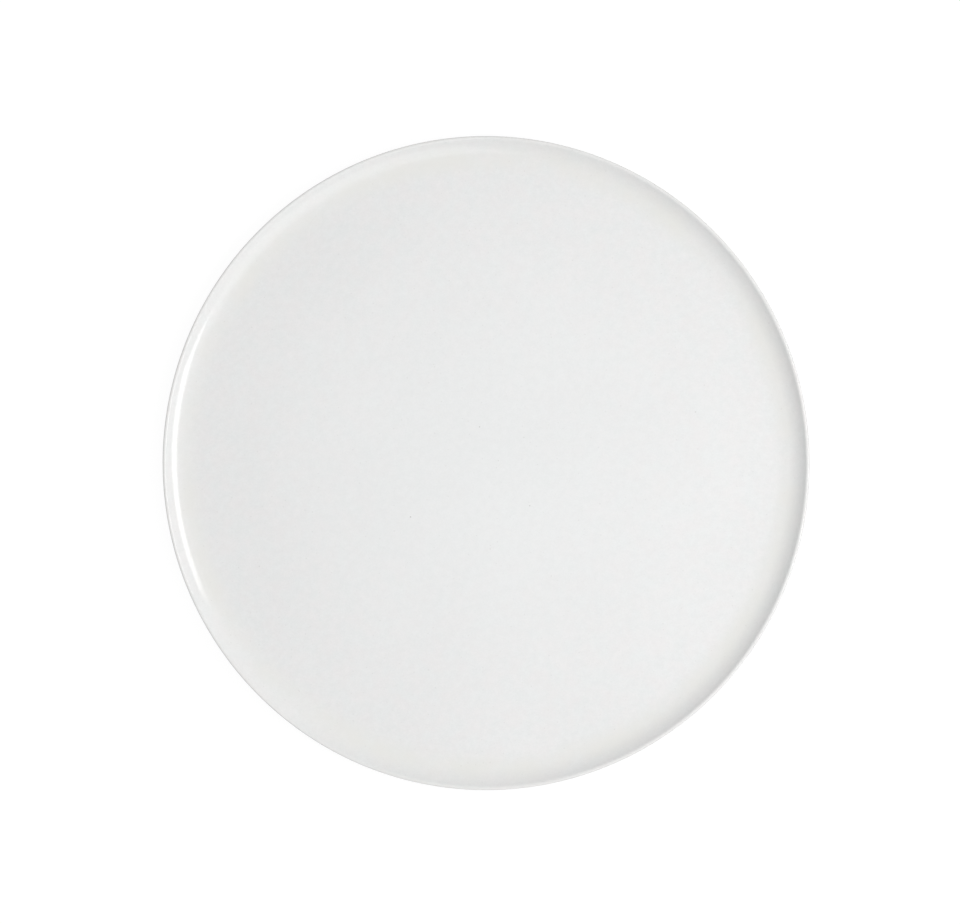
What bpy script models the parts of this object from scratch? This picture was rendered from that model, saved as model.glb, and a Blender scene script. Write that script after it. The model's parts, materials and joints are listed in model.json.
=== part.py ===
"""A round glazed stoneware charger plate with a flat well, a low coved rim and a foot ring.

The plate is one turned clay body that carries two coats of fired glaze. The face glaze runs from the
middle of the well, over the lip and down the outside to the foot. The base glaze lines the recess inside
the foot ring. The foot itself is bare clay, because a glazed foot would stick to the kiln shelf.

Lengths are in metres. +Z is up, and the origin is on the axis, in the plane that the foot stands on.
"""

import math

import bpy

# Well and rim. Radii are those of the glazed surface, but the lip's are those of the clay.
PLATE_DIAMETER = 0.320
FLOOR_THICKNESS = 0.0056
SAG_RADIUS = 0.7600
SAG_SLOPE = math.radians(2.4)
EASE_RADIUS = 0.0420
EASE_SLOPE = math.radians(9.0)
COVE_RADIUS = 0.0140
RIM_SLOPE = math.radians(48.0)
LIP_INNER_RADIUS = 0.0009
LIP_OUTER_RADIUS = 0.0002

# Outside and foot
OUTSIDE_SLOPE = math.radians(60.0)
OUTER_TURN_RADIUS = 0.0150
UNDERSIDE_BAND = 0.0260
FOOT_HEIGHT = 0.0040
FOOT_WIDTH = 0.0060
FOOT_ROOT_RADIUS = 0.0016
FOOT_EDGE_RADIUS = 0.0008

# Glaze
GLAZE_THICKNESS = 0.0003
BOND_GAP = 0.0003

# Fineness of the turned surfaces
TURN_STEPS = 72
SAG_FACET = math.radians(1.2)
COVE_FACET = math.radians(8.0)
LIP_FACET = math.radians(30.0)
OUTER_TURN_FACET = math.radians(15.0)
FOOT_FACET = math.radians(30.0)
MERGE_DISTANCE = 0.00001

# Share of a wall that a fillet may use up
FILLET_SHARE = 0.9
FOOT_EDGE_SHARE = 0.3
FOOT_ROOT_SHARE = 0.6

# Fired colours, roughness
CLAY_COLOUR = (0.62, 0.55, 0.45, 1.0)
CLAY_ROUGHNESS = 0.75
GLAZE_COLOUR = (0.82, 0.82, 0.80, 1.0)
GLAZE_ROUGHNESS = 0.10

# Ways that a face can look, as angles in the plane of the turned profile
UP = math.radians(90.0)
DOWN = -UP
OUTWARD = 0.0
INWARD = -math.radians(180.0)

# The glaze's surface stands this far off the clay
COAT = BOND_GAP + GLAZE_THICKNESS


def flat(radius, height, facing):
    """One skin point on a flat face: (radius, height, way that the face looks)."""
    return [(radius, height, facing)]


def away(point, distance, facing):
    """The point at a distance from another one, in the way that a face looks."""
    return point[0] + distance * math.cos(facing), point[1] + distance * math.sin(facing)


def bend(centre, radius, facing_from, facing_to, facet):
    """Skin points round an arc, in facets of an angle or less. A negative radius makes the arc hollow."""
    steps = math.ceil(abs(facing_to - facing_from) / facet)
    points = []
    for step in range(steps + 1):
        facing = facing_from + (facing_to - facing_from) * step / steps
        points.append((*away(centre, radius, facing), facing))
    return points


def raised(skin, height):
    """The (radius, height) points of a skin lifted off the clay by a height, in the way that each one looks."""
    return [away((radius, z), height, facing) for radius, z, facing in skin]


def face_skin(floor, underside):
    """The clay from the well's middle over the lip to the underside, and the radius where that gets flat."""
    sag_facing = UP - SAG_SLOPE
    ease_facing = UP + EASE_SLOPE
    rim_facing = UP + RIM_SLOPE
    outside_facing = OUTSIDE_SLOPE - UP
    sag = SAG_RADIUS - COAT
    ease = EASE_RADIUS + COAT
    cove = COVE_RADIUS + COAT
    inner_lip = LIP_INNER_RADIUS
    outer_lip = LIP_OUTER_RADIUS

    # How far the centre of the lip's inner arc is above the floor, from one arc's centre to the next
    lip_rise = (
        (sag + ease) * math.sin(sag_facing)
        - sag
        - (ease - cove) * math.sin(ease_facing)
        - (cove + inner_lip) * math.sin(rim_facing)
    )

    # Placed from the lip inwards: two arcs meet on the line through their centres
    inner_centre = (PLATE_DIAMETER / 2 - COAT - outer_lip, floor + lip_rise)
    outer_centre = away(inner_centre, inner_lip - outer_lip, UP)
    cove_centre = away(inner_centre, inner_lip + cove, rim_facing)
    ease_centre = away(cove_centre, ease - cove, ease_facing)
    sag_centre = away(ease_centre, -ease - sag, sag_facing)

    # The outside runs straight down from the lip and turns into the underside
    lip_end = away(outer_centre, outer_lip, outside_facing)
    outside_wall = (lip_end[1] - underside) / math.sin(OUTSIDE_SLOPE)
    half_turn = math.tan(OUTSIDE_SLOPE / 2)
    turn = min(OUTER_TURN_RADIUS, FILLET_SHARE * outside_wall / half_turn)
    turn_radius = lip_end[0] - outside_wall * math.cos(OUTSIDE_SLOPE) - turn * half_turn

    skin = (
        flat(0.0, floor, UP)
        + bend(sag_centre, sag, UP, sag_facing, SAG_FACET)
        + bend(ease_centre, -ease, sag_facing, ease_facing, COVE_FACET)[1:]
        + bend(cove_centre, -cove, ease_facing, rim_facing, COVE_FACET)[1:]
        + bend(inner_centre, inner_lip, rim_facing, UP, LIP_FACET)[1:]
        + bend(outer_centre, outer_lip, UP, OUTWARD, LIP_FACET)[1:]
        + bend(outer_centre, outer_lip, OUTWARD, outside_facing, LIP_FACET)[1:]
        + bend((turn_radius, underside + turn), turn, outside_facing, DOWN, OUTER_TURN_FACET)
    )
    return skin, turn_radius


def clay_skins():
    """The clay's surface in three stretches: face, bare foot and base recess, from the well's middle round."""
    underside = FOOT_HEIGHT
    face, band_edge = face_skin(underside + FLOOR_THICKNESS, underside)

    # The foot stands inside the flat band of the underside
    root = min(FOOT_ROOT_RADIUS + COAT, FOOT_ROOT_SHARE * FOOT_HEIGHT)
    edge = min(FOOT_EDGE_RADIUS, FOOT_EDGE_SHARE * FOOT_WIDTH, FOOT_EDGE_SHARE * FOOT_HEIGHT)
    foot_outside = band_edge - UNDERSIDE_BAND - root
    foot_inside = foot_outside - FOOT_WIDTH

    foot_root = bend((foot_outside + root, underside - root), -root, DOWN, OUTWARD, FOOT_FACET)
    foot_edge_outside = bend((foot_outside - edge, edge), edge, OUTWARD, DOWN, FOOT_FACET)
    foot_edge_inside = bend((foot_inside + edge, edge), edge, DOWN, INWARD, FOOT_FACET)
    base_root = bend((foot_inside - root, underside - root), -root, INWARD, DOWN, FOOT_FACET)
    return face + foot_root, foot_edge_outside + foot_edge_inside, base_root + flat(0.0, underside, DOWN)


def fired_material(name, colour, roughness):
    """A plain fired surface: clay or glaze."""
    material = bpy.data.materials.new(name)
    material.use_nodes = True
    shader = material.node_tree.nodes["Principled BSDF"]
    shader.inputs["Base Color"].default_value = colour
    shader.inputs["Roughness"].default_value = roughness
    shader.inputs["Metallic"].default_value = 0.0
    return material


def turned(name, profile, material, parent):
    """One object turned round the plate's axis from a profile that starts and ends on that axis."""
    mesh = bpy.data.meshes.new(name)
    points = [(radius, 0.0, height) for radius, height in profile]
    edges = [(i, i + 1) for i in range(len(points) - 1)]
    mesh.from_pydata(points, edges, [])
    mesh.materials.append(material)
    piece = bpy.data.objects.new(name, mesh)
    bpy.context.collection.objects.link(piece)
    piece.parent = parent
    wheel = piece.modifiers.new("turned", "SCREW")
    wheel.axis = "Z"
    wheel.angle = 2 * math.pi
    wheel.steps = TURN_STEPS
    wheel.render_steps = TURN_STEPS
    wheel.use_merge_vertices = True
    wheel.merge_threshold = MERGE_DISTANCE
    wheel.use_smooth_shade = True
    return piece


def main():
    for leftover in list(bpy.data.objects):
        bpy.data.objects.remove(leftover)

    plate = bpy.data.objects.new("charger_plate", None)
    bpy.context.collection.objects.link(plate)

    clay = fired_material("stoneware_clay", CLAY_COLOUR, CLAY_ROUGHNESS)
    glaze = fired_material("white_glaze", GLAZE_COLOUR, GLAZE_ROUGHNESS)
    face, foot, base = clay_skins()

    # The body shows its bare clay only on the foot ring
    turned("stoneware_body", raised(face + foot + base, 0.0), clay, plate)

    # Each coat is a thin shell, with its fired surface outside and its bonded surface next to the clay
    turned("face_glaze", raised(face, COAT) + raised(face, BOND_GAP)[::-1], glaze, plate)
    turned("base_glaze", raised(base, BOND_GAP)[::-1] + raised(base, COAT), glaze, plate)


main()
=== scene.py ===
"""The looks of a round glazed stoneware charger plate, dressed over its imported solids.

The plate is three turned pieces: the clay body and its two coats of glaze. Each one starts as the few
corners of its half outline. A Geometry Nodes tree rounds those corners, turns the outline round the plate's
axis and lets it wander a little, as a plate thrown by hand does. Lengths are in metres, +Z is up, and the
foot stands on z = 0.
"""

import json
import math

import bpy
from mathutils import Matrix, Vector


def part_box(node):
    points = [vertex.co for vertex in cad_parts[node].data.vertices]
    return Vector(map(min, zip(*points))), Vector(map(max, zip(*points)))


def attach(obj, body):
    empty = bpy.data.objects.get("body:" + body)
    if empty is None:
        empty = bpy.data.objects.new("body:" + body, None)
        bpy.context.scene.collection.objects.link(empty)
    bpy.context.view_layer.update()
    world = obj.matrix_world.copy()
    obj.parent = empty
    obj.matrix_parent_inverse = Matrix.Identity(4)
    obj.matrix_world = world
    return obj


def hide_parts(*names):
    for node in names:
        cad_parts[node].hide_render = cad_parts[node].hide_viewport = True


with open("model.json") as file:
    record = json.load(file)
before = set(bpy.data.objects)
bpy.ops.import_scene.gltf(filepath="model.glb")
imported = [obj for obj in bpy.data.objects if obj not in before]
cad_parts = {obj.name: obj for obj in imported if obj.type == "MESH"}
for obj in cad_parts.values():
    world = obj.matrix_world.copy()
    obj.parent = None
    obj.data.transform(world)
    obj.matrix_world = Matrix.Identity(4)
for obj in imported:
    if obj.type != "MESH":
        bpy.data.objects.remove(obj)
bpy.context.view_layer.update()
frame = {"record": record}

# Sizes that the frame gives
mounts = {mount["name"]: Vector(mount["pos_m"]) for mount in frame["record"]["mounts"]}
PLATE_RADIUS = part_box("face_glaze")[1].x
LIP_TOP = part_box("face_glaze")[1].z
COAT = PLATE_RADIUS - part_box("stoneware_body")[1].x
WELL_FLOOR = mounts["well_floor"].z
FOOT_RADIUS = mounts["foot_ring"].xy.length

# The clay's half outline: the well sags a little, eases up again and curves through the cove into the rim
SAG_SLOPE = math.radians(2.4)
EASE_SLOPE = math.radians(9.0)
RIM_SLOPE = math.radians(48.0)
OUTSIDE_SLOPE = math.radians(60.0)
SAG_RADIUS = 0.7594
EASE_RADIUS = 0.0426
COVE_RADIUS = 0.0146
LIP_INNER_RADIUS = 0.0009
LIP_OUTER_RADIUS = 0.0002
OUTER_TURN_RADIUS = 0.0150
FOOT_HEIGHT = 0.0040
FOOT_WIDTH = 0.0060
FOOT_ROOT_RADIUS = 0.0022
FOOT_EDGE_RADIUS = 0.0008
FOOT_OUTSIDE_RADIUS = FOOT_RADIUS + FOOT_WIDTH / 2
FOOT_INSIDE_RADIUS = FOOT_RADIUS - FOOT_WIDTH / 2

# The coats: their bonded side stands just off the clay, and on the foot's walls they end in a rounded hem
BOND = 0.00005
HEM_HEIGHT = 0.0017
HEM_RADIUS = 0.0004

# Rings that the turning tool left in the recess under the well
TOOL_RING_PITCH = 0.0085
TOOL_RING_DEPTH = 0.00007
TOOL_RING_INNERMOST = 0.0040
TOOL_RING_STEPS = 6

# Share of a straight stretch between two tool rings that their bends use up
BEND_SHARE = 0.95

# Fineness of the turned surfaces
TURN_STEPS = 360
BEND_FACET = math.radians(3.0)
FINE_BEND_FACET = math.radians(10.0)
FINE_BEND = 0.0030
RING_SPACING = 0.0060
MERGE_DISTANCE = 0.000002

# Hand-made unevenness: the rim rises and dips, the outline strays from a circle, and the hem waves
RIM_WARP = 0.0002
OUT_OF_ROUND = 0.00015
HEM_WAVE = 0.0006
WARP_WAVES = 0.8
HEM_WAVES = 5.0
WARP_SEED = 7.0
ROUND_SEED = 23.0
HEM_SEED = 41.0

# Inputs of the tree that turns a piece: kind of socket, value
TURNING = {
    "Turn Steps": ("NodeSocketInt", TURN_STEPS),
    "Ring Spacing": ("NodeSocketFloat", RING_SPACING),
    "Merge Distance": ("NodeSocketFloat", MERGE_DISTANCE),
    "Plate Radius": ("NodeSocketFloat", PLATE_RADIUS),
    "Foot Radius": ("NodeSocketFloat", FOOT_OUTSIDE_RADIUS),
    "Rim Warp": ("NodeSocketFloat", RIM_WARP),
    "Out of Round": ("NodeSocketFloat", OUT_OF_ROUND),
    "Warp Waves": ("NodeSocketFloat", WARP_WAVES),
    "Hem Wave": ("NodeSocketFloat", HEM_WAVE),
    "Hem Waves": ("NodeSocketFloat", HEM_WAVES),
    "Warp Seed": ("NodeSocketFloat", WARP_SEED),
    "Round Seed": ("NodeSocketFloat", ROUND_SEED),
    "Hem Seed": ("NodeSocketFloat", HEM_SEED),
}

# What each corner of an outline carries: radius and steps of its rounding, share in the hem's wave
CORNER_MARKS = {"rounding": "FLOAT", "steps": "INT", "hem": "FLOAT"}

# Ways that a wall of the outline can look, as angles in the plane of radius and height
RIGHT_ANGLE = math.radians(90.0)
UP = RIGHT_ANGLE
DOWN = -RIGHT_ANGLE
OUTWARD = 0.0
INWARD = 2 * RIGHT_ANGLE

# Sockets of a Mix node for colours, by number, because such a node has several sockets of each name
MIX_FIRST = 6
MIX_SECOND = 7
MIX_RESULT = 2

# A noise is given as waves to a metre, levels of detail and roughness. Most of its values lie in here.
NOISE_RANGE = (0.3, 0.7)

# The glaze's mottle, from lean to full: noises on three scales, and their shares
GLAZE_FULL = (0.832, 0.844, 0.842, 1.0)
GLAZE_LEAN = (0.767, 0.780, 0.777, 1.0)
DRIFT = (14.0, 2.0, 0.5)
MOTTLE = (330.0, 3.0, 0.6)
FINE_MOTTLE = (1100.0, 2.0, 0.5)
DRIFT_SHARE = 0.3
MOTTLE_SHARE = 0.5
FINE_MOTTLE_SHARE = 0.4
MOTTLE_RANGE = (0.3, 0.9)

# Painted sheen: the middle of the well is painted whiter, standing in for the light that brightens it
# there; how far out that reaches, and how white it gets
GLAZE_PAINTED_SHEEN = (0.90, 0.91, 0.91, 1.0)
PAINTED_SHEEN_REACH = 0.1500
PAINTED_SHEEN_SHARE = 0.28

# Warm tint: shares are those on the axis and at the well's edge
GLAZE_WARM = (0.95, 0.78, 0.78, 1.0)
TINT = (110.0, 2.0, 0.5)
TINT_RANGE = (0.25, 0.75)
TINT_SHARES = (0.03, 0.11)

# Pooled glaze in the cove, warmer, with painted shade at the foot of the rim, darker: where the well's
# floor starts to rise, and how wide a band pools and is shaded, in patches
GLAZE_POOLED_AND_SHADED = (0.800, 0.796, 0.760, 1.0)
WELL_EDGE = 0.1400
POOL_AND_SHADE_WIDTH = 0.0190
POOL_AND_SHADE_MIDDLE = WELL_EDGE + POOL_AND_SHADE_WIDTH / 2
POOL_AND_SHADE_END = WELL_EDGE + POOL_AND_SHADE_WIDTH
POOL_AND_SHADE_LEFT_AT_END = 0.2
POOL_AND_SHADE_PATCHES = (45.0, 2.0, 0.5)
POOL_AND_SHADE_SHARES = (0.15, 0.7)

# Thin glaze on the lip: how far in from the edge it starts to thin, and is thinnest
GLAZE_THIN = (0.70, 0.67, 0.60, 1.0)
THIN_BAND = 0.0020
THINNEST_BAND = 0.0005
THIN_SHARE = 0.1

# Surface of the melt: orange peel, and a slow swell with its shares in the well and on the rim
PEEL = (700.0, 2.0, 0.5)
PEEL_SHARE = 0.4
SWELL = (90.0, 1.0, 0.5)
SWELL_SHARES = (1.0, 3.0)
GLAZE_RELIEF = 0.00002
GLOSS = (120.0, 3.0, 0.5)
GLOSS_ROUGHNESS = (0.10, 0.14)
GLAZE_IOR = 1.55

# The bare clay, in clouds from buff to pale
CLAY_BUFF = (0.60, 0.51, 0.40, 1.0)
CLAY_PALE = (0.72, 0.65, 0.55, 1.0)
CLAY_CLOUDS = (60.0, 3.0, 0.6)

# Toasted clay next to the hem: heights where that starts and is full, and how far the clouds shift them
CLAY_TOASTED = (0.42, 0.25, 0.13, 1.0)
TOAST_HEIGHTS = (0.0010, 0.0020)
TOAST_STRAY = 0.0006
TOAST_SHARE = 0.75

# Surface of the clay: lines from turning, grit, and the sole that use has rubbed smooth
TURNING_LINES = (2600.0, 2.0, 0.6)
GRIT = (2200.0, 3.0, 0.6)
GRIT_SHARE = 0.8
CLAY_RELIEF = 0.00006
CLAY_RELIEF_STRENGTH = 0.8
CLAY_ROUGHNESS = 0.85
RUBBED_ROUGHNESS = 0.62
RUB_HEIGHT = 0.0004

# Grains in the glaze and in the clay: spacing, size, how rare the strong ones are, strength
IRON = (0.12, 0.085, 0.06, 1.0)
CLAY_GROG = (0.78, 0.73, 0.65, 1.0)
DEEP_IRON_GRAINS = (0.0034, 0.0004, 1.0, 0.10)
NEAR_IRON_GRAINS = (0.0120, 0.00045, 2.0, 0.34)
CLAY_GROG_GRAINS = (0.0011, 0.0004, 0.5, 0.5)
CLAY_IRON_GRAINS = (0.0024, 0.0004, 0.5, 0.7)

# Share of a grain's size that has its full strength
GRAIN_CORE = 0.6

# The view: straight down, tipped towards +X. Lens and sensor are in millimetres.
VIEW_TILT = math.radians(8.48)
VIEW_DISTANCE = 2.0
VIEW_AIM = Vector((-0.00122, 0.00056, 0.01382))
VIEW_LENS = 153.24
VIEW_SENSOR = 36.0

# A long softbox on the right and a larger, weaker one in front. Zenith 0 is straight up, azimuth 0 is +X.
SOFTBOXES = {
    "key": {
        "zenith": math.radians(42.5),
        "azimuth": math.radians(-3.0),
        "roll": math.radians(23.0),
        "distance": 1.2,
        "length": 0.94,
        "width": 0.44,
        "brightness": 3.97,
    },
    "front": {
        "zenith": math.radians(45.0),
        "azimuth": math.radians(-70.0),
        "roll": 0.0,
        "distance": 2.4,
        "length": 2.1,
        "width": 1.8,
        "brightness": 0.7,
    },
}

# The fill: an even part, and parts from above, from behind on the right and from in front on the right
FILL_EVEN = 0.50
FILL_PARTS = (
    {"zenith": 0.0, "azimuth": 0.0, "strength": 0.17, "power": 4.0},
    {"zenith": math.radians(60.0), "azimuth": math.radians(45.0), "strength": 0.36, "power": 3.0},
    {"zenith": math.radians(60.0), "azimuth": math.radians(-45.0), "strength": 0.15, "power": 3.0},
)
WHITE = (1.0, 1.0, 1.0, 1.0)

# The floor: its colour where it lights the plate, and the glow and shading that the camera sees of it
FLOOR_HALF = 4.0
FLOOR_COLOUR = (0.3, 0.3, 0.3, 1.0)
FLOOR_GLOW = 0.9
FLOOR_SHADE = (0.16, 0.16, 0.16, 1.0)


def looking(angle):
    """The way that a wall looks, as a vector in the plane of radius and height."""
    return Vector((math.cos(angle), math.sin(angle)))


def wall_through(angle, point, bend=0.0):
    """A straight wall of the outline: the way that it looks, its reach that way, the bend after it."""
    return {"looks": angle, "reach": looking(angle).dot(point), "bend": bend}


def clay_walls():
    """The clay's straight walls, from the well's middle over the lip and round the foot to the recess.

    A hollow bend is negative, so that lifting the walls off the clay adds to every bend.
    """
    sag_way = UP - SAG_SLOPE
    ease_way = UP + EASE_SLOPE
    rim_way = UP + RIM_SLOPE
    outside_way = OUTSIDE_SLOPE - UP

    # Placed from the lip inwards: two bends meet on the line through their centres
    lip_top = Vector((PLATE_RADIUS - COAT - LIP_OUTER_RADIUS, LIP_TOP - COAT))
    inner_centre = lip_top - looking(UP) * LIP_INNER_RADIUS
    outer_centre = lip_top - looking(UP) * LIP_OUTER_RADIUS
    cove_centre = inner_centre + looking(rim_way) * (LIP_INNER_RADIUS + COVE_RADIUS)
    ease_centre = cove_centre + looking(ease_way) * (EASE_RADIUS - COVE_RADIUS)
    sag_end = ease_centre - looking(sag_way) * EASE_RADIUS
    ease_end = cove_centre - looking(ease_way) * COVE_RADIUS
    rim_end = inner_centre + looking(rim_way) * LIP_INNER_RADIUS
    outside_start = outer_centre + looking(outside_way) * LIP_OUTER_RADIUS

    return {
        "well": wall_through(UP, Vector((0.0, WELL_FLOOR - COAT)), SAG_RADIUS),
        "sag": wall_through(sag_way, sag_end, -EASE_RADIUS),
        "ease": wall_through(ease_way, ease_end, -COVE_RADIUS),
        "rim": wall_through(rim_way, rim_end, LIP_INNER_RADIUS),
        "lip": wall_through(UP, lip_top, LIP_OUTER_RADIUS),
        "outside": wall_through(outside_way, outside_start, OUTER_TURN_RADIUS),
        "underside": wall_through(DOWN, Vector((0.0, FOOT_HEIGHT)), -FOOT_ROOT_RADIUS),
        "foot_outside": wall_through(OUTWARD, Vector((FOOT_OUTSIDE_RADIUS, 0.0)), FOOT_EDGE_RADIUS),
        "sole": wall_through(DOWN, Vector((0.0, 0.0)), FOOT_EDGE_RADIUS),
        "foot_inside": wall_through(INWARD, Vector((FOOT_INSIDE_RADIUS, 0.0)), -FOOT_ROOT_RADIUS),
        "recess": wall_through(DOWN, Vector((0.0, FOOT_HEIGHT))),
    }


WALLS = clay_walls()


def meeting(wall, other, lift):
    """The place where two walls meet, both lifted off the clay."""
    first = looking(wall["looks"])
    second = looking(other["looks"])
    reach = wall["reach"] + lift
    other_reach = other["reach"] + lift
    turn = first.x * second.y - first.y * second.x
    radius = (reach * second.y - other_reach * first.y) / turn
    height = (first.x * other_reach - second.x * reach) / turn
    return Vector((radius, height))


def corner(place, bend=0.0, facet=FINE_BEND_FACET, turn=0.0, hem=0.0):
    """One corner of an outline: its place and what it carries."""
    steps = max(1, math.ceil(turn / facet))
    return {"place": place, "rounding": abs(bend), "steps": steps, "hem": hem}


def corners(first, last, lift):
    """The rounded corners between two of the clay's walls, lifted off the clay."""
    names = list(WALLS)
    found = []
    for number in range(names.index(first), names.index(last)):
        wall = WALLS[names[number]]
        next_wall = WALLS[names[number + 1]]
        bend = wall["bend"] + lift
        turn = math.acos(looking(wall["looks"]).dot(looking(next_wall["looks"])))
        facet = FINE_BEND_FACET if abs(bend) < FINE_BEND else BEND_FACET
        found.append(corner(meeting(wall, next_wall, lift), bend, facet, turn))
    return found


def on_axis(name, lift):
    """Where a level wall, lifted off the clay, reaches the plate's axis."""
    wall = WALLS[name]
    height = looking(wall["looks"]).y * (wall["reach"] + lift)
    return corner(Vector((0.0, height)))


def hem_on(name, lift, bend):
    """The end of a coat on one of the foot's walls."""
    wall = WALLS[name]
    radius = looking(wall["looks"]).x * (wall["reach"] + lift)
    return corner(Vector((radius, HEM_HEIGHT)), bend, turn=RIGHT_ANGLE, hem=1.0)


def tool_rings(lift):
    """The low ridges and grooves across the recess, from its edge inwards, each rounded into the next."""
    height = FOOT_HEIGHT - lift
    edge = FOOT_INSIDE_RADIUS - FOOT_ROOT_RADIUS
    half_pitch = TOOL_RING_PITCH / 2
    count = int((edge - TOOL_RING_INNERMOST) / half_pitch)
    turn = 2 * math.atan(2 * TOOL_RING_DEPTH / half_pitch)
    bend = BEND_SHARE * (half_pitch / 2) / math.tan(turn / 2)
    rings = []
    for step in range(1, count):
        side = TOOL_RING_DEPTH if step % 2 else -TOOL_RING_DEPTH
        place = Vector((edge - step * half_pitch, height + side))
        rings.append(corner(place, bend, turn / TOOL_RING_STEPS, turn))
    return rings


def body_outline():
    """The clay from the well's middle, over the lip and round the foot, to the middle of the recess."""
    return [on_axis("well", 0.0), *corners("well", "recess", 0.0), on_axis("recess", 0.0)]


def face_outline():
    """The face coat: out along its fired surface to the foot, and back along the clay."""
    fired = [on_axis("well", COAT), *corners("well", "foot_outside", COAT)]
    hem = [hem_on("foot_outside", COAT, HEM_RADIUS), hem_on("foot_outside", BOND, 0.0)]
    bonded = [on_axis("well", BOND), *corners("well", "foot_outside", BOND)]
    return fired + hem + bonded[::-1]


def base_outline():
    """The base coat: out from the axis along the clay to the foot, and back along its fired surface."""
    bonded = [*corners("foot_inside", "recess", BOND), on_axis("recess", BOND)]
    hem = [hem_on("foot_inside", BOND, 0.0), hem_on("foot_inside", COAT, HEM_RADIUS)]
    fired = [*corners("foot_inside", "recess", COAT), *tool_rings(COAT), on_axis("recess", COAT)]
    return bonded[::-1] + hem + fired


def feed(tree, node, inputs):
    """Give each of a node's inputs a value or another node's output."""
    for name, value in inputs.items():
        if isinstance(value, bpy.types.NodeSocket):
            tree.links.new(value, node.inputs[name])
        else:
            node.inputs[name].default_value = value


def put(tree, kind, inputs, **settings):
    """One node in a tree, with its inputs and its settings."""
    node = tree.nodes.new(kind)
    for name, value in settings.items():
        setattr(node, name, value)
    feed(tree, node, inputs)
    return node


def math_of(tree, operation, *values):
    """The output of a math node on numbers or other nodes' outputs."""
    return put(tree, "ShaderNodeMath", dict(enumerate(values)), operation=operation).outputs["Value"]


def plus(tree, first, second):
    """The sum of two numbers or outputs."""
    return math_of(tree, "ADD", first, second)


def times(tree, first, second):
    """The product of two numbers or outputs."""
    return math_of(tree, "MULTIPLY", first, second)


def vector_of(tree, operation, inputs):
    """The vector that a vector math node gives."""
    return put(tree, "ShaderNodeVectorMath", inputs, operation=operation).outputs["Vector"]


def measure_of(tree, operation, inputs):
    """The number that a vector math node gives."""
    return put(tree, "ShaderNodeVectorMath", inputs, operation=operation).outputs["Value"]


def ramp_of(tree, value, low, high, to_low=0.0, to_high=1.0):
    """A value brought from one range to another, with soft ends."""
    inputs = {"Value": value, "From Min": low, "From Max": high, "To Min": to_low, "To Max": to_high}
    return put(tree, "ShaderNodeMapRange", inputs, interpolation_type="SMOOTHSTEP").outputs["Result"]


def level_of(tree, place):
    """A place brought down to z = 0."""
    return vector_of(tree, "MULTIPLY", {0: place, 1: (1.0, 1.0, 0.0)})


def radius_of(tree, place):
    """How far a place is from the plate's axis."""
    return measure_of(tree, "LENGTH", {0: level_of(tree, place)})


def wander_of(tree, path, seed):
    """Smooth noise from -1 to 1 along a path."""
    inputs = {"Vector": path, "W": seed, "Scale": 1.0, "Detail": 1.0}
    return put(tree, "ShaderNodeTexNoise", inputs, noise_dimensions="4D", normalize=False).outputs["Fac"]


def mark_of(tree, name):
    """What each corner of the outline carries under a name."""
    kind = CORNER_MARKS[name]
    return put(tree, "GeometryNodeInputNamedAttribute", {"Name": name}, data_type=kind).outputs["Attribute"]


def rounded_outline(tree, given):
    """The outline as a curve, with its corners rounded and its long stretches split into rings."""
    curve = put(tree, "GeometryNodeMeshToCurve", {"Mesh": given["Outline"]}).outputs["Curve"]
    rounding = {"Curve": curve, "Radius": mark_of(tree, "rounding"), "Count": mark_of(tree, "steps")}
    rounded = put(tree, "GeometryNodeFilletCurve", rounding, mode="POLY").outputs["Curve"]

    place = tree.nodes.new("GeometryNodeInputPosition").outputs["Position"]
    number = tree.nodes.new("GeometryNodeInputIndex").outputs["Index"]
    next_point = {"Index": plus(tree, number, 1.0), "Value": place}
    next_place = put(tree, "GeometryNodeFieldAtIndex", next_point, data_type="FLOAT_VECTOR")
    stretch = measure_of(tree, "DISTANCE", {0: place, 1: next_place.outputs["Value"]})
    cuts = math_of(tree, "FLOOR", math_of(tree, "DIVIDE", stretch, given["Ring Spacing"]))
    return put(tree, "GeometryNodeSubdivideCurve", {"Curve": rounded, "Cuts": cuts}).outputs["Curve"]


def full_turn(tree, given, outline):
    """The closed surface that the outline makes in a full turn round the plate's axis.

    It is carried round a circle of the plate's radius, so that radius comes off the outline first.
    """
    place = tree.nodes.new("GeometryNodeInputPosition").outputs["Position"]
    split = put(tree, "ShaderNodeSeparateXYZ", {"Vector": place}).outputs
    upright = put(tree, "ShaderNodeCombineXYZ", {"X": split["X"], "Y": times(tree, split["Z"], -1.0)})
    inward = put(tree, "ShaderNodeCombineXYZ", {"X": times(tree, given["Plate Radius"], -1.0)})
    shift = {
        "Geometry": outline,
        "Position": upright.outputs["Vector"],
        "Offset": inward.outputs["Vector"],
    }
    profile = put(tree, "GeometryNodeSetPosition", shift).outputs["Geometry"]

    way_round = {"Resolution": given["Turn Steps"], "Radius": given["Plate Radius"]}
    circle = put(tree, "GeometryNodeCurvePrimitiveCircle", way_round).outputs["Curve"]
    sweep = {"Curve": circle, "Profile Curve": profile}
    swept = put(tree, "GeometryNodeCurveToMesh", sweep).outputs["Mesh"]
    merging = {"Geometry": swept, "Distance": given["Merge Distance"]}
    return put(tree, "GeometryNodeMergeByDistance", merging).outputs["Geometry"]


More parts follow.
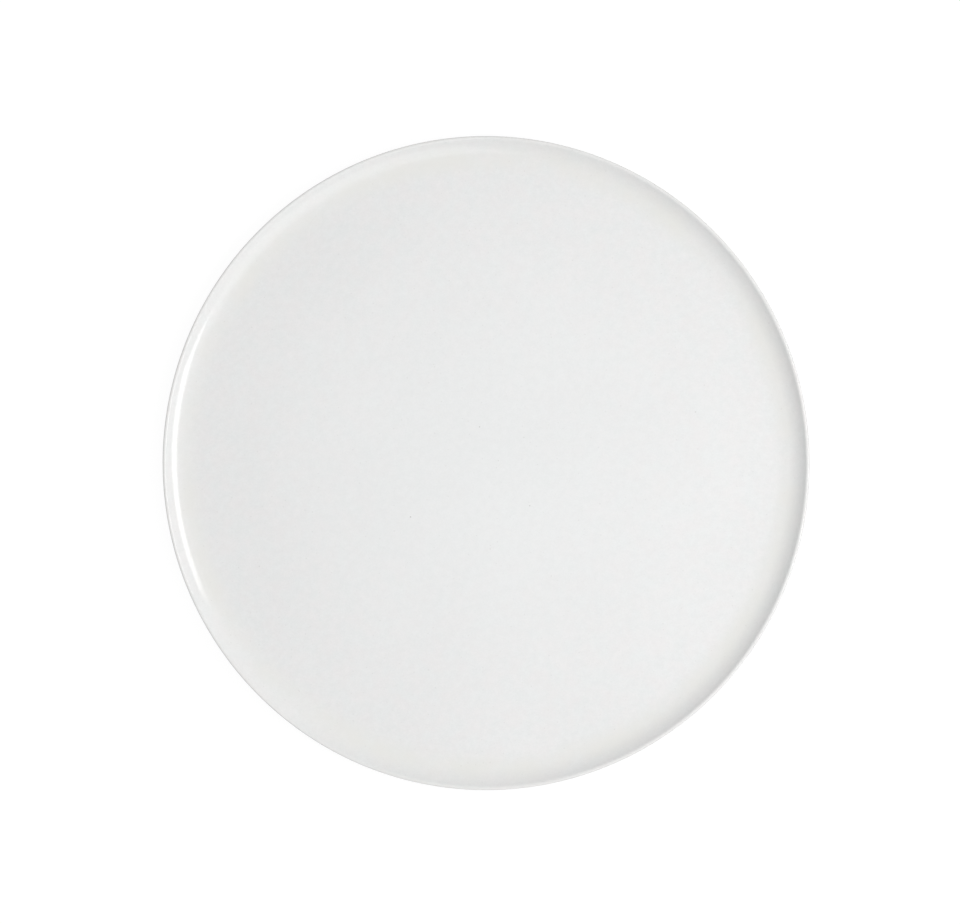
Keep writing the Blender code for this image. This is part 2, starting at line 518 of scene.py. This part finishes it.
def unevenness(tree, given):
    """How far each point strays. The rim rises, dips and leaves its circle, and the hem waves."""
    place = tree.nodes.new("GeometryNodeInputPosition").outputs["Position"]
    outward = vector_of(tree, "NORMALIZE", {0: level_of(tree, place)})
    slow_path = vector_of(tree, "SCALE", {0: outward, "Scale": given["Warp Waves"]})
    quick_path = vector_of(tree, "SCALE", {0: outward, "Scale": given["Hem Waves"]})
    rise = times(tree, wander_of(tree, slow_path, given["Warp Seed"]), given["Rim Warp"])
    stray = times(tree, wander_of(tree, slow_path, given["Round Seed"]), given["Out of Round"])
    wave = times(tree, wander_of(tree, quick_path, given["Hem Seed"]), given["Hem Wave"])

    # The foot keeps its place, and the share in rise and stray grows from there to the lip
    share = ramp_of(tree, radius_of(tree, place), given["Foot Radius"], given["Plate Radius"])
    lift = plus(tree, times(tree, rise, share), times(tree, wave, mark_of(tree, "hem")))
    upward = put(tree, "ShaderNodeCombineXYZ", {"Z": lift}).outputs["Vector"]
    sideways = vector_of(tree, "SCALE", {0: outward, "Scale": times(tree, stray, share)})
    return vector_of(tree, "ADD", {0: sideways, 1: upward})


def turning_tree():
    """The tree that turns an outline into a piece with rounded corners and a little unevenness."""
    tree = bpy.data.node_groups.new("turned on the wheel", "GeometryNodeTree")
    tree.interface.new_socket("Outline", in_out="INPUT", socket_type="NodeSocketGeometry")
    for name, (kind, _) in TURNING.items():
        tree.interface.new_socket(name, in_out="INPUT", socket_type=kind)
    tree.interface.new_socket("Finish", in_out="INPUT", socket_type="NodeSocketMaterial")
    tree.interface.new_socket("Turned", in_out="OUTPUT", socket_type="NodeSocketGeometry")
    given = tree.nodes.new("NodeGroupInput").outputs

    even = full_turn(tree, given, rounded_outline(tree, given))
    straying = {"Geometry": even, "Offset": unevenness(tree, given)}
    uneven = put(tree, "GeometryNodeSetPosition", straying).outputs["Geometry"]
    smooth = put(tree, "GeometryNodeSetShadeSmooth", {"Geometry": uneven}).outputs["Geometry"]
    real = put(tree, "GeometryNodeRealizeInstances", {"Geometry": smooth}).outputs["Geometry"]
    finishing = {"Geometry": real, "Material": given["Finish"]}
    finished = put(tree, "GeometryNodeSetMaterial", finishing).outputs["Geometry"]
    put(tree, "NodeGroupOutput", {"Turned": finished})
    return tree


def turned(name, outline, finish, tree):
    """A finished piece: the mesh that the tree turns from an outline."""
    mesh = bpy.data.meshes.new(name + "_outline")
    points = [(point["place"].x, 0.0, point["place"].y) for point in outline]
    mesh.from_pydata(points, [(i, i + 1) for i in range(len(points) - 1)], [])
    for mark, kind in CORNER_MARKS.items():
        values = [point[mark] for point in outline]
        mesh.attributes.new(mark, kind, "POINT").data.foreach_set("value", values)

    blank = bpy.data.objects.new(name + "_blank", mesh)
    bpy.context.scene.collection.objects.link(blank)
    turning = blank.modifiers.new("turning", "NODES")
    turning.node_group = tree
    given = {size: value for size, (_, value) in TURNING.items()}
    given["Finish"] = finish
    for item in tree.interface.items_tree:
        if item.name in given:
            turning[item.identifier] = given[item.name]

    graph = bpy.context.evaluated_depsgraph_get()
    made = bpy.data.meshes.new_from_object(blank.evaluated_get(graph), depsgraph=graph)
    made.name = name
    for mark in CORNER_MARKS:
        made.attributes.remove(made.attributes[mark])
    bpy.data.objects.remove(blank)
    bpy.data.meshes.remove(mesh)
    piece = bpy.data.objects.new(name, made)
    bpy.context.scene.collection.objects.link(piece)
    return piece


def noise_of(tree, vector, noise):
    """Smooth noise from 0 to 1."""
    scale, detail, roughness = noise
    inputs = {"Vector": vector, "Scale": scale, "Detail": detail, "Roughness": roughness}
    return put(tree, "ShaderNodeTexNoise", inputs).outputs["Fac"]


def blend_of(tree, share, first, second):
    """A colour between two others."""
    inputs = {"Factor": share, MIX_FIRST: first, MIX_SECOND: second}
    return put(tree, "ShaderNodeMix", inputs, data_type="RGBA").outputs[MIX_RESULT]


def crown_of(tree, radius, reach):
    """1 on the plate's axis, falling off like a shallow dome to 0 at a radius."""
    outward = math_of(tree, "DIVIDE", radius, reach)
    dome = math_of(tree, "SUBTRACT", 1.0, times(tree, outward, outward))
    return math_of(tree, "MAXIMUM", dome, 0.0)


def speckled(tree, place, grains, colour, grain_colour):
    """A colour with grains of another one scattered through it."""
    spacing, size, rarity, strength = grains
    cells = put(tree, "ShaderNodeTexVoronoi", {"Vector": place, "Scale": 1.0 / spacing}).outputs
    grain = ramp_of(tree, cells["Distance"], size / spacing, GRAIN_CORE * size / spacing)
    chance = put(tree, "ShaderNodeSeparateColor", {"Color": cells["Color"]}).outputs["Red"]
    shown = times(tree, grain, math_of(tree, "POWER", chance, rarity))
    return blend_of(tree, times(tree, shown, strength), colour, grain_colour)


def bump_of(tree, height, distance, strength=1.0):
    """The normal of a surface with a fine relief."""
    inputs = {"Height": height, "Distance": distance, "Strength": strength}
    return put(tree, "ShaderNodeBump", inputs).outputs["Normal"]


def fired_material(name):
    """A new material, its tree, and the place of a point on the plate."""
    material = bpy.data.materials.new(name)
    material.use_nodes = True
    tree = material.node_tree
    return material, tree, tree.nodes.new("ShaderNodeTexCoord").outputs["Object"]


def white_glaze():
    """Glossy off-white glaze: faintly mottled, with a painted sheen in the well, creamy with painted shade
    in the cove, thin on the lip, with iron specks.
    """
    material, tree, place = fired_material("white_glaze")
    radius = radius_of(tree, place)

    # A faint mottle on three scales
    drift = times(tree, noise_of(tree, place, DRIFT), DRIFT_SHARE)
    mottle = times(tree, noise_of(tree, place, MOTTLE), MOTTLE_SHARE)
    fine_mottle = times(tree, noise_of(tree, place, FINE_MOTTLE), FINE_MOTTLE_SHARE)
    tone = plus(tree, plus(tree, drift, mottle), fine_mottle)
    colour = blend_of(tree, ramp_of(tree, tone, *MOTTLE_RANGE), GLAZE_LEAN, GLAZE_FULL)

    # Painted sheen: whiter in the middle of the well, for the light there; warmer towards its edge
    painted_sheen = times(tree, crown_of(tree, radius, PAINTED_SHEEN_REACH), PAINTED_SHEEN_SHARE)
    colour = blend_of(tree, painted_sheen, colour, GLAZE_PAINTED_SHEEN)
    tint = ramp_of(tree, noise_of(tree, place, TINT), *TINT_RANGE)
    tint = times(tree, tint, ramp_of(tree, radius, 0.0, WELL_EDGE, *TINT_SHARES))
    colour = blend_of(tree, tint, colour, GLAZE_WARM)

    # Glaze pools in the cove, warmer, and the band is also painted darker there as painted shade at the
    # foot of the rim; less so up the rim; the glaze is thin on the lip
    pool_and_shade_start = ramp_of(tree, radius, WELL_EDGE, POOL_AND_SHADE_MIDDLE)
    pool_and_shade_fading = ramp_of(tree, radius, POOL_AND_SHADE_END, POOL_AND_SHADE_MIDDLE, POOL_AND_SHADE_LEFT_AT_END, 1.0)
    patches = ramp_of(tree, noise_of(tree, place, POOL_AND_SHADE_PATCHES), *NOISE_RANGE, *POOL_AND_SHADE_SHARES)
    pooled_and_shaded = times(tree, times(tree, pool_and_shade_start, pool_and_shade_fading), patches)
    colour = blend_of(tree, pooled_and_shaded, colour, GLAZE_POOLED_AND_SHADED)
    thin = ramp_of(tree, radius, PLATE_RADIUS - THIN_BAND, PLATE_RADIUS - THINNEST_BAND)
    colour = blend_of(tree, times(tree, thin, THIN_SHARE), colour, GLAZE_THIN)

    # Iron grains show through the glaze: many faint ones, and a few that lie close to its surface
    colour = speckled(tree, place, DEEP_IRON_GRAINS, colour, IRON)
    colour = speckled(tree, place, NEAR_IRON_GRAINS, colour, IRON)

    # The surface of the melt
    peel = times(tree, noise_of(tree, place, PEEL), PEEL_SHARE)
    swell_share = ramp_of(tree, radius, WELL_EDGE, POOL_AND_SHADE_MIDDLE, *SWELL_SHARES)
    swell = times(tree, noise_of(tree, place, SWELL), swell_share)
    surface = {
        "Base Color": colour,
        "Roughness": ramp_of(tree, noise_of(tree, place, GLOSS), *NOISE_RANGE, *GLOSS_ROUGHNESS),
        "Normal": bump_of(tree, plus(tree, peel, swell), GLAZE_RELIEF),
        "IOR": GLAZE_IOR,
    }
    feed(tree, tree.nodes["Principled BSDF"], surface)
    return material


def stoneware_clay():
    """Bare fired clay: buff and gritty, toasted next to the glaze, rubbed smooth where the plate stands."""
    material, tree, place = fired_material("stoneware_clay")
    radius = radius_of(tree, place)
    height = put(tree, "ShaderNodeSeparateXYZ", {"Vector": place}).outputs["Z"]

    clouds = noise_of(tree, place, CLAY_CLOUDS)
    colour = blend_of(tree, ramp_of(tree, clouds, *NOISE_RANGE), CLAY_BUFF, CLAY_PALE)
    near_hem = plus(tree, height, times(tree, clouds, TOAST_STRAY))
    toasted = times(tree, ramp_of(tree, near_hem, *TOAST_HEIGHTS), TOAST_SHARE)
    colour = blend_of(tree, toasted, colour, CLAY_TOASTED)
    colour = speckled(tree, place, CLAY_GROG_GRAINS, colour, CLAY_GROG)
    colour = speckled(tree, place, CLAY_IRON_GRAINS, colour, IRON)

    # Turning lines run round the foot, so their noise knows only radius and height
    section = put(tree, "ShaderNodeCombineXYZ", {"X": radius, "Z": height}).outputs["Vector"]
    lines = noise_of(tree, section, TURNING_LINES)
    grit = times(tree, noise_of(tree, place, GRIT), GRIT_SHARE)
    surface = {
        "Base Color": colour,
        "Roughness": ramp_of(tree, height, RUB_HEIGHT, 0.0, CLAY_ROUGHNESS, RUBBED_ROUGHNESS),
        "Normal": bump_of(tree, plus(tree, lines, grit), CLAY_RELIEF, CLAY_RELIEF_STRENGTH),
    }
    feed(tree, tree.nodes["Principled BSDF"], surface)
    return material


def plate():
    """The plate's three pieces, each in place of its solid."""
    tree = turning_tree()
    glaze = white_glaze()
    clay = stoneware_clay()
    for name, outline, finish, slot, node in (
        ("clay_body", body_outline(), clay, "stoneware_clay", "stoneware_body"),
        ("face_coat", face_outline(), glaze, "white_glaze", "face_glaze"),
        ("base_coat", base_outline(), glaze, "white_glaze", "base_glaze"),
    ):
        piece = turned(name, outline, finish, tree)
        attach(piece, "root")
        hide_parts(node)


def from_above(zenith, azimuth):
    """The way to what stands at an angle from straight above, and at an angle from +X round the plate."""
    level = math.sin(zenith)
    return Vector((level * math.cos(azimuth), level * math.sin(azimuth), math.cos(zenith)))


def seen_directly(tree):
    """1 for what the camera sees, also mirrored or through glass, and 0 for light that falls on things."""
    path = tree.nodes.new("ShaderNodeLightPath").outputs
    mirrored = math_of(tree, "MAXIMUM", path["Is Glossy Ray"], path["Is Transmission Ray"])
    return math_of(tree, "MAXIMUM", path["Is Camera Ray"], mirrored)


def fill_part(tree, place, zenith, azimuth, strength, power):
    """Light that comes from one way and fades to nothing at a right angle to it."""
    along = measure_of(tree, "DOT_PRODUCT", {0: place, 1: from_above(zenith, azimuth)})
    facing = math_of(tree, "MAXIMUM", along, 0.0)
    return times(tree, math_of(tree, "POWER", facing, power), strength)


def studio_world():
    """White where it is seen, and a soft fill where it lights things."""
    world = bpy.data.worlds.new("studio")
    bpy.context.scene.world = world
    world.use_nodes = True
    tree = world.node_tree
    place = tree.nodes.new("ShaderNodeTexCoord").outputs["Generated"]
    fill = FILL_EVEN
    for part in FILL_PARTS:
        fill = plus(tree, fill, fill_part(tree, place, **part))
    fill_or_white = {"Factor": seen_directly(tree), "A": fill, "B": 1.0}
    strength = put(tree, "ShaderNodeMix", fill_or_white, data_type="FLOAT").outputs["Result"]
    feed(tree, tree.nodes["Background"], {"Color": WHITE, "Strength": strength})


def studio_floor():
    """A plain floor that is seen as white, with the plate's shadow on it."""
    mesh = bpy.data.meshes.new("floor")
    ways = ((-1, -1), (1, -1), (1, 1), (-1, 1))
    mesh.from_pydata([(x * FLOOR_HALF, y * FLOOR_HALF, 0.0) for x, y in ways], [], [(0, 1, 2, 3)])
    material = bpy.data.materials.new("floor_white")
    material.use_nodes = True
    tree = material.node_tree
    tree.nodes.remove(tree.nodes["Principled BSDF"])
    lit = put(tree, "ShaderNodeBsdfDiffuse", {"Color": FLOOR_COLOUR}).outputs["BSDF"]
    shade = put(tree, "ShaderNodeBsdfDiffuse", {"Color": FLOOR_SHADE}).outputs["BSDF"]
    glow = put(tree, "ShaderNodeEmission", {"Strength": FLOOR_GLOW}).outputs["Emission"]
    shown = put(tree, "ShaderNodeAddShader", {0: glow, 1: shade}).outputs["Shader"]
    either = put(tree, "ShaderNodeMixShader", {0: seen_directly(tree), 1: lit, 2: shown}).outputs["Shader"]
    feed(tree, tree.nodes["Material Output"], {"Surface": either})
    mesh.materials.append(material)
    floor = bpy.data.objects.new("floor", mesh)
    bpy.context.scene.collection.objects.link(floor)


def turned_to(across, upward, away, place):
    """The placing of a camera or lamp from the ways of its own X, Y and Z."""
    matrix = Matrix((across, upward, away)).transposed().to_4x4()
    matrix.translation = place
    return matrix


def softbox(name, zenith, azimuth, roll, distance, length, width, brightness):
    """A lamp with an even, rectangular face that looks at the plate."""
    lamp = bpy.data.lights.new(name, "AREA")
    lamp.shape = "RECTANGLE"
    lamp.size = length
    lamp.size_y = width
    lamp.energy = math.pi * length * width * brightness
    box = bpy.data.objects.new(name, lamp)
    bpy.context.scene.collection.objects.link(box)
    away = from_above(zenith, azimuth)
    level = Vector((0.0, 0.0, 1.0)).cross(away).normalized()
    across = Matrix.Rotation(roll, 3, away) @ level
    box.matrix_world = turned_to(across, away.cross(across), away, away * distance)
    box.visible_camera = False


def camera():
    """The photograph's view, from nearly above."""
    lens = bpy.data.cameras.new("view")
    lens.lens = VIEW_LENS
    lens.sensor_width = VIEW_SENSOR
    view = bpy.data.objects.new("view", lens)
    bpy.context.scene.collection.objects.link(view)
    away = from_above(VIEW_TILT, 0.0)
    upward = Vector((0.0, 1.0, 0.0))
    view.matrix_world = turned_to(upward.cross(away), upward, away, VIEW_AIM + away * VIEW_DISTANCE)
    bpy.context.scene.camera = view


def studio():
    """The fill, the floor, the lamps and the camera."""
    studio_world()
    studio_floor()
    for name, settings in SOFTBOXES.items():
        softbox(name, **settings)
    camera()
    bpy.context.scene.view_settings.view_transform = "Standard"


plate()
studio()
